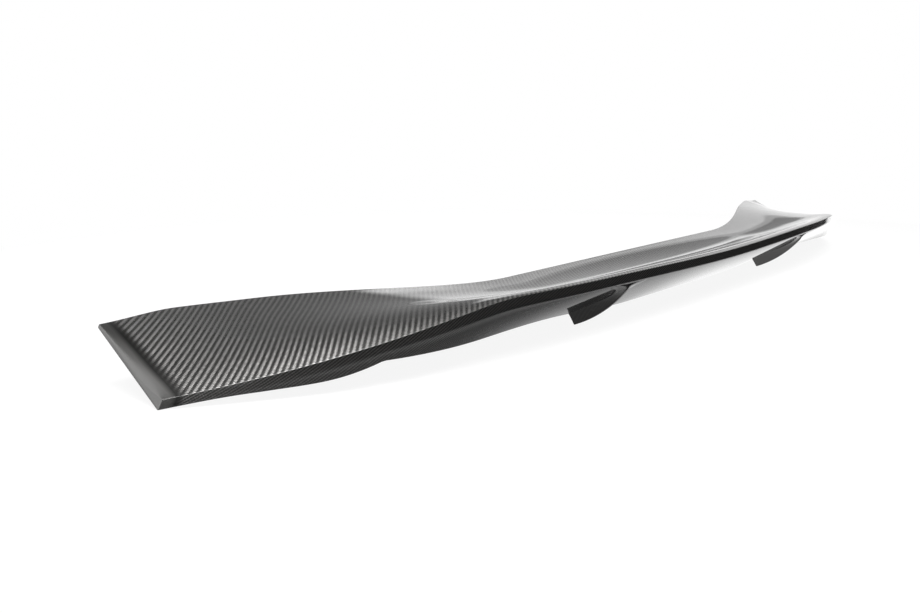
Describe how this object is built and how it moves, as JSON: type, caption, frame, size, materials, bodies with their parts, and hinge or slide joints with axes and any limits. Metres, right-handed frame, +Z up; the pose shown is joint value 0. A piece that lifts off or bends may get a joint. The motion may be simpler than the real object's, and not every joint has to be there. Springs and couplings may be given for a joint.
{
  "type": "car rear spoiler",
  "caption": "Boot-lid spoiler in gloss black carbon weave: raised centre lip over a dished top, end panels that sweep down and forward, gusset fins under the lip.",
  "frame": {"origin": "under the middle of the part, on the plane that its two tips and its two fins stand on", "axes": "+X across the car, +Y towards the front of the car, +Z up"},
  "size_m": [1.4064, 0.244, 0.0613],
  "materials": {
    "carbon": "black 2x2 twill carbon fibre under a gloss clear coat"
  },
  "bodies": {
    "root": {"rear_spoiler": "carbon"}
  },
  "joints": []
}
